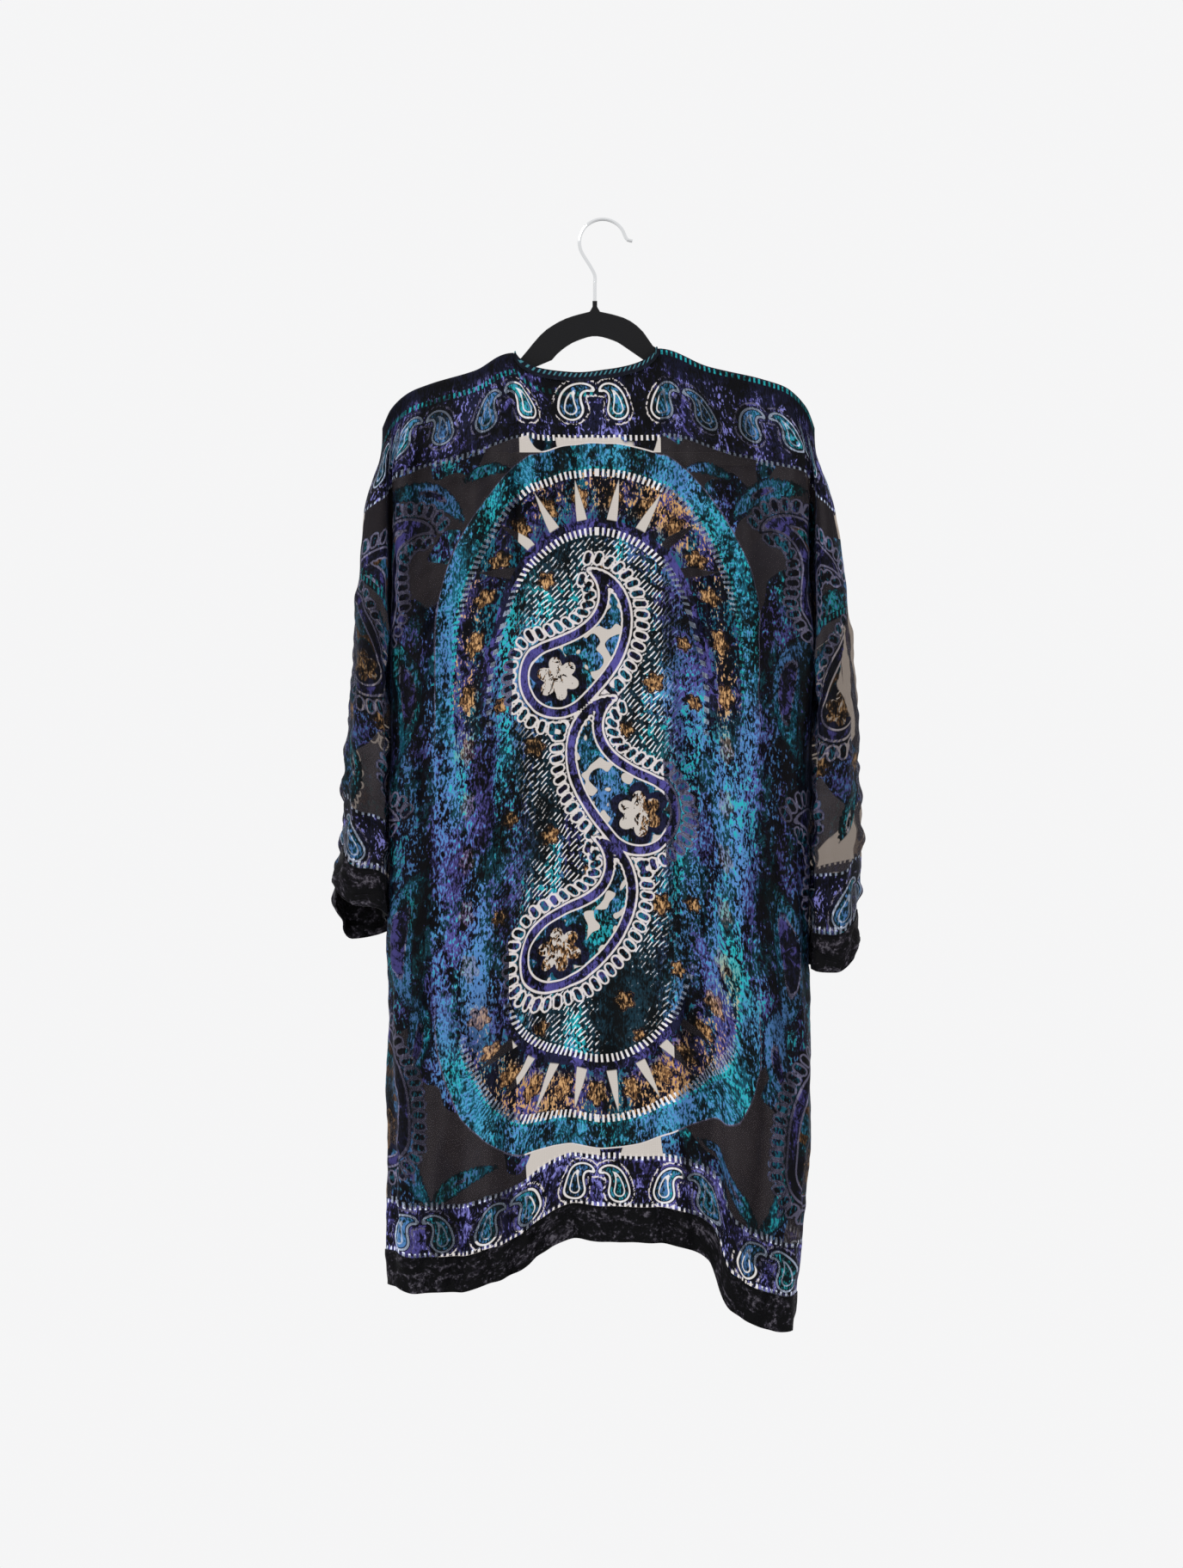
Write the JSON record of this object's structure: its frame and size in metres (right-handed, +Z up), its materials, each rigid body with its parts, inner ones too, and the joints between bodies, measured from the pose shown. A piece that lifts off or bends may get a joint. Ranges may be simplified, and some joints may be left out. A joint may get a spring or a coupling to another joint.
{
  "type": "velvet kimono duster on a hanger",
  "caption": "Burnout velvet kimono duster with a paisley print, open at the front, hung on a slim flocked hanger with a chrome wire hook.",
  "frame": {"origin": "inside top of the hook, where the rail carries it", "axes": "+Z up; the garment's back faces -Y and its open front +Y; +X runs to the wearer's right sleeve"},
  "size_m": [0.5429, 0.1193, 1.1381],
  "materials": {
    "printed_velvet": "burnout velvet, paisley print in teal, violet and bronze",
    "plain_velvet": "plain black velvet",
    "flock": "black flocked plastic",
    "chrome": "polished wire"
  },
  "bodies": {
    "root": {"back": "printed_velvet", "front_left": "printed_velvet", "front_right": "printed_velvet", "sleeve_left": "printed_velvet", "sleeve_right": "printed_velvet", "neckband": "plain_velvet", "hem_back": "plain_velvet", "hem_front_left": "plain_velvet", "hem_front_right": "plain_velvet", "cuff_left": "plain_velvet", "cuff_right": "plain_velvet", "hanger": "flock", "hook": "chrome"}
  },
  "joints": []
}
